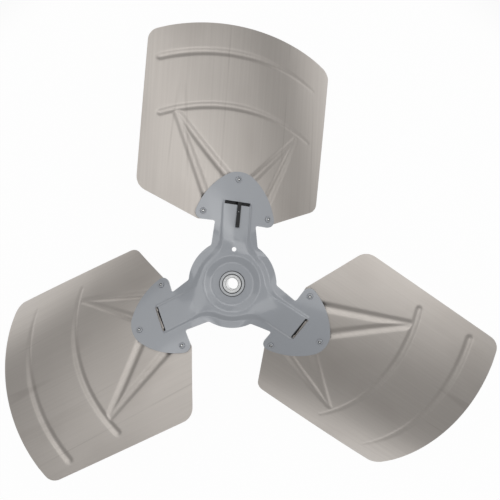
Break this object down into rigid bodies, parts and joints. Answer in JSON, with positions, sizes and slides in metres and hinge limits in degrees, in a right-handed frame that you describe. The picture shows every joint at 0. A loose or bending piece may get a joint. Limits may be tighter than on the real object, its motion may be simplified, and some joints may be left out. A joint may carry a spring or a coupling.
{
  "type": "propeller fan blade",
  "caption": "Condenser-type propeller fan: stamped aluminium blades with pressed beads and darts, riveted to a painted steel spider on a bored hub.",
  "frame": {"origin": "on the fan axis, level with the underside of the spider's flat rim", "axes": "+Z along the fan axis towards the spider's face, +Y along the first arm"},
  "size_m": [0.5486, 0.4951, 0.1427],
  "materials": {
    "blade_aluminium": "mill finish, faintly streaked along the span",
    "spider_paint": "blue-grey satin paint",
    "rivet_steel": "blue-grey satin paint over steel",
    "hub_steel": "turned and zinc plated",
    "screw_steel": "blackened"
  },
  "bodies": {
    "root": {"blade_1": "blade_aluminium", "blade_2": "blade_aluminium", "blade_3": "blade_aluminium", "spider": "spider_paint", "rivets": "rivet_steel", "hub": "hub_steel", "set_screw": "screw_steel", "balance_clip": "screw_steel"}
  },
  "joints": []
}
